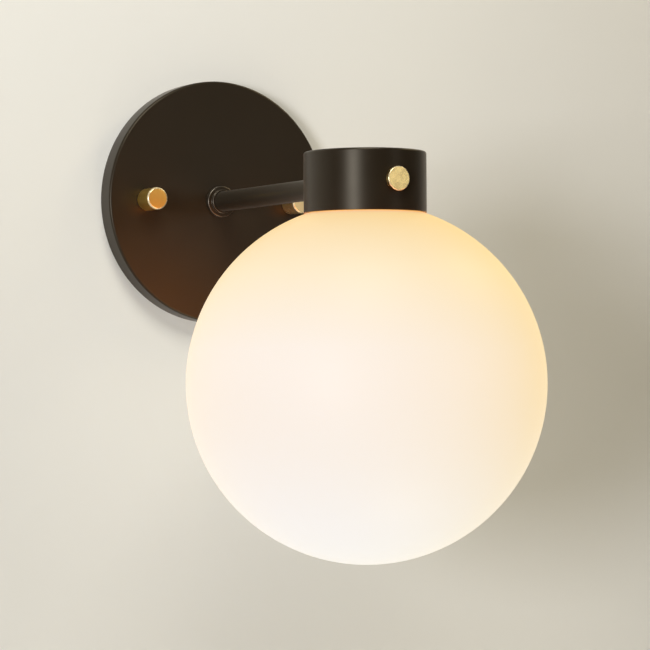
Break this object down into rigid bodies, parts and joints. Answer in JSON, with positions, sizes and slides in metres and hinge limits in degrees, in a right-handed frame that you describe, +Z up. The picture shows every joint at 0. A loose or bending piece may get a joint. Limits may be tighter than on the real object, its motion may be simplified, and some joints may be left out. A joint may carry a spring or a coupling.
{
  "type": "globe wall sconce",
  "caption": "Wall light: round pan backplate, straight horizontal arm, short cup-shaped cap, thumb screw and a round opal glass globe that hangs under the cap.",
  "frame": {"origin": "on the wall plane, at the centre of the crossbar's back face and of the backplate's open back", "axes": "+Y into the wall, the light stands out along -Y; +Z up; +X to the right for someone who faces the wall"},
  "size_m": [0.18, 0.262, 0.257],
  "materials": {
    "dark_bronze": "satin, smooth, near-black bronze paint",
    "brass": "smooth, satin polished",
    "pale_brass": "smooth, satin, paler than the knobs",
    "steel": "zinc plated",
    "green_screw": "green coated",
    "nylon": "natural nylon",
    "silicone": "translucent silicone",
    "terminal_plastic": "moulded",
    "terminal_metal": "plain",
    "opal_glass": "glossy opal, lit from inside",
    "ceramic": "glazed",
    "bulb_glass": "clear glass",
    "nickel": "nickel plated",
    "insulator": "black glass",
    "solder": "solder tip",
    "stem": "clear glass",
    "filament": "phosphor coated, glowing",
    "black_insulation": "lead insulation",
    "white_insulation": "lead insulation",
    "green_insulation": "lead insulation"
  },
  "bodies": {
    "fixture": {"backplate": "dark_bronze", "arm_collar": "dark_bronze", "arm_tube": "dark_bronze", "cap": "dark_bronze", "thumb_screw_bush": "brass", "mounting_crossbar": "steel", "stud_left": "steel", "stud_right": "steel", "stud_nut_left": "steel", "stud_nut_right": "steel", "arm_lock_washer": "steel", "arm_back_nut": "steel", "arm_front_nut": "steel", "socket_bracket": "steel", "socket_screws": "steel", "terminal_block_screw": "steel", "terminal_screws": "steel", "ground_screw": "green_screw", "bracket_ground_screw": "green_screw", "terminal_block": "terminal_plastic", "terminal_sleeves": "terminal_metal", "neck_pad_left": "silicone", "neck_pad_right": "silicone", "socket_body": "ceramic", "socket_shell": "nickel", "socket_contact": "brass", "lead_live": "black_insulation", "lead_neutral": "white_insulation", "lead_ground": "green_insulation"},
    "left_knob_carrier": {"knob_washer_left": "nylon"},
    "left_knob": {"knob_left": "brass"},
    "right_knob_carrier": {"knob_washer_right": "nylon"},
    "right_knob": {"knob_right": "brass"},
    "thumb_screw_carrier": {"thumb_screw_tip": "nylon"},
    "thumb_screw_turner": {"thumb_screw": "pale_brass"},
    "globe_shade": {"globe": "opal_glass", "globe_bottom": "opal_glass", "globe_shoulder": "opal_glass", "globe_neck": "opal_glass"},
    "lamp_carrier": {"bulb_contact": "solder"},
    "lamp": {"bulb_glass": "bulb_glass", "bulb_base": "nickel", "bulb_insulator": "insulator", "bulb_stem": "stem", "bulb_filament": "filament"}
  },
  "joints": [
    {"name": "left_knob_out", "type": "slide", "parent": "fixture", "child": "left_knob_carrier", "axis": [0, -1, 0], "range_m": [0, 0.008]},
    {"name": "left_knob_turn", "type": "hinge", "parent": "left_knob_carrier", "child": "left_knob", "pos_m": [-0.04445, -0.018, 0], "axis": [0, -1, 0], "range_deg": [0, 3600]},
    {"name": "right_knob_out", "type": "slide", "parent": "fixture", "child": "right_knob_carrier", "axis": [0, -1, 0], "range_m": [0, 0.008]},
    {"name": "right_knob_turn", "type": "hinge", "parent": "right_knob_carrier", "child": "right_knob", "pos_m": [0.04445, -0.018, 0], "axis": [0, -1, 0], "range_deg": [0, 3600]},
    {"name": "thumb_screw_out", "type": "slide", "parent": "fixture", "child": "thumb_screw_carrier", "axis": [0, -1, 0], "range_m": [0, 0.005]},
    {"name": "thumb_screw_turn", "type": "hinge", "parent": "thumb_screw_carrier", "child": "thumb_screw_turner", "pos_m": [0, -0.2, 0], "axis": [0, -1, 0], "range_deg": [0, 2520]},
    {"name": "globe_lower", "type": "slide", "parent": "fixture", "child": "globe_shade", "axis": [0, 0, 1], "range_m": [-0.12, 0]},
    {"name": "lamp_down", "type": "slide", "parent": "fixture", "child": "lamp_carrier", "axis": [0, 0, -1], "range_m": [0, 0.0128]},
    {"name": "lamp_turn", "type": "hinge", "parent": "lamp_carrier", "child": "lamp", "pos_m": [0, -0.172, 0], "axis": [0, 0, -1], "range_deg": [0, 1800]}
  ],
  "couplings": [
    {"joint": "left_knob_out", "follows": "left_knob_turn", "m_per_rad": 0.00012633},
    {"joint": "right_knob_out", "follows": "right_knob_turn", "m_per_rad": 0.00012633},
    {"joint": "thumb_screw_out", "follows": "thumb_screw_turn", "m_per_rad": 0.00011141},
    {"joint": "lamp_down", "follows": "lamp_turn", "m_per_rad": 0.00040425}
  ]
}
